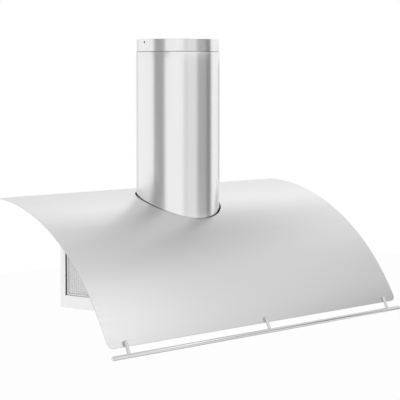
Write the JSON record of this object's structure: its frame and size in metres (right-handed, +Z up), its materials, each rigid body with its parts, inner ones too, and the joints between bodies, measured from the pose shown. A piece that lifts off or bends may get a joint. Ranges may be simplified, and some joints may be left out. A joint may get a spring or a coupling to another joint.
{
  "type": "wall mount range hood",
  "caption": "Wall hood with a sheet canopy in one curve, slanted box with side filters, round telescoping chimney and a rail below the front edge.",
  "frame": {"origin": "middle of the four wall screws, on the wall", "axes": "+X to the right seen from the front, +Y into the wall, +Z up"},
  "size_m": [0.9, 0.5032, 0.7005],
  "materials": {
    "canopy_steel": "satin stainless sheet, brushed along its width",
    "chimney_steel": "satin stainless tube, brushed along its length",
    "box_steel": "fine satin stainless sheet",
    "rail_steel": "satin stainless bar",
    "inner_steel": "zinc-plated sheet, dull",
    "screw_steel": "zinc-plated, bright",
    "filter_steel": "thin folded stainless rim",
    "net_metal": "expanded metal, dull grey",
    "core_metal": "knitted layers, dull grey",
    "pull_steel": "bright wire",
    "black_rubber": "matt black",
    "wheel_plastic": "dark grey moulding",
    "motor_black": "black paint, semi-matt",
    "black_plastic": "fine texture, black",
    "white_plastic": "matt off-white",
    "grey_plastic": "matt grey",
    "button_steel": "satin stainless, turned",
    "lens_glass": "frosted glass"
  },
  "bodies": {
    "hood": {"canopy": "canopy_steel", "wall_angle": "inner_steel", "back_panel": "box_steel", "side_panel_left": "box_steel", "side_panel_right": "box_steel", "front_panel": "box_steel", "floor_panel": "box_steel", "top_deck": "inner_steel", "floor_screws": "screw_steel", "cable_bush": "black_rubber", "chimney_lower": "chimney_steel", "chimney_foot": "inner_steel", "foot_screws": "screw_steel", "duct_collar": "inner_steel", "collar_screws": "screw_steel", "damper_pin": "screw_steel", "scroll_band": "inner_steel", "scroll_side_left": "inner_steel", "scroll_side_right": "inner_steel", "outlet_gasket": "black_rubber", "blower_mounts": "black_rubber", "blower_screws": "screw_steel", "motor": "motor_black", "motor_bracket": "inner_steel", "terminal_box": "black_plastic", "terminal_cover": "black_plastic", "terminal_block": "white_plastic", "cable_gland": "black_plastic", "motor_capacitor": "white_plastic", "lamp_driver": "white_plastic", "control_fascia": "black_plastic", "switch_housing": "grey_plastic", "lamp_housings": "inner_steel", "lamp_rings": "button_steel", "lamp_lenses": "lens_glass", "utensil_rail": "rail_steel", "rail_end_caps": "rail_steel", "rail_post_left": "rail_steel", "rail_post_centre": "rail_steel", "rail_post_right": "rail_steel", "rail_screws": "screw_steel"},
    "chimney_slide": {"chimney_upper": "chimney_steel", "ceiling_ring": "inner_steel"},
    "wheel": {"fan_wheel": "wheel_plastic", "motor_shaft": "screw_steel"},
    "flap_front": {"damper_flap_front": "inner_steel"},
    "flap_rear": {"damper_flap_rear": "inner_steel"},
    "filter_left": {"filter_frame_left": "filter_steel", "filter_net_left": "net_metal", "filter_core_left": "core_metal"},
    "pull_left": {"filter_pull_left": "pull_steel"},
    "filter_right": {"filter_frame_right": "filter_steel", "filter_net_right": "net_metal", "filter_core_right": "core_metal"},
    "pull_right": {"filter_pull_right": "pull_steel"},
    "key_off": {"button_off": "button_steel"},
    "key_low": {"button_low": "button_steel"},
    "key_mid": {"button_mid": "button_steel"},
    "key_high": {"button_high": "button_steel"},
    "key_lamp": {"button_lamp": "button_steel"}
  },
  "joints": [
    {"name": "chimney_extend", "type": "slide", "parent": "hood", "child": "chimney_slide", "axis": [0, 0, 1], "range_m": [0, 0.38]},
    {"name": "wheel_spin", "type": "hinge", "parent": "hood", "child": "wheel", "pos_m": [0, -0.201, -0.02496], "axis": [1, 0, 0], "continuous": true},
    {"name": "flap_front_swing", "type": "hinge", "parent": "hood", "child": "flap_front", "pos_m": [0, -0.1375, 0.09404], "axis": [-1, 0, 0], "range_deg": [0, 78]},
    {"name": "flap_rear_swing", "type": "hinge", "parent": "hood", "child": "flap_rear", "pos_m": [0, -0.1375, 0.09404], "axis": [1, 0, 0], "range_deg": [0, 78]},
    {"name": "filter_left_tilt", "type": "hinge", "parent": "hood", "child": "filter_left", "pos_m": [-0.2131, -0.14758, -0.10766], "axis": [0.3746, -0.9272, 0], "range_deg": [0, 40]},
    {"name": "pull_left_swing", "type": "hinge", "parent": "filter_left", "child": "pull_left", "pos_m": [-0.21181, -0.15451, 0.04088], "axis": [-0.3746, 0.9272, 0], "range_deg": [0, 90]},
    {"name": "filter_right_tilt", "type": "hinge", "parent": "hood", "child": "filter_right", "pos_m": [0.2131, -0.14758, -0.10766], "axis": [0.3746, 0.9272, 0], "range_deg": [0, 40]},
    {"name": "pull_right_swing", "type": "hinge", "parent": "filter_right", "child": "pull_right", "pos_m": [0.21181, -0.15451, 0.04088], "axis": [-0.3746, -0.9272, 0], "range_deg": [0, 90]},
    {"name": "press_off", "type": "slide", "parent": "hood", "child": "key_off", "axis": [0, 0, 1], "range_m": [0, 0.002], "stiffness_N_per_m": 250},
    {"name": "press_low", "type": "slide", "parent": "hood", "child": "key_low", "axis": [0, 0, 1], "range_m": [0, 0.002], "stiffness_N_per_m": 250},
    {"name": "press_mid", "type": "slide", "parent": "hood", "child": "key_mid", "axis": [0, 0, 1], "range_m": [0, 0.002], "stiffness_N_per_m": 250},
    {"name": "press_high", "type": "slide", "parent": "hood", "child": "key_high", "axis": [0, 0, 1], "range_m": [0, 0.002], "stiffness_N_per_m": 250},
    {"name": "press_lamp", "type": "slide", "parent": "hood", "child": "key_lamp", "axis": [0, 0, 1], "range_m": [0, 0.002], "stiffness_N_per_m": 250}
  ]
}
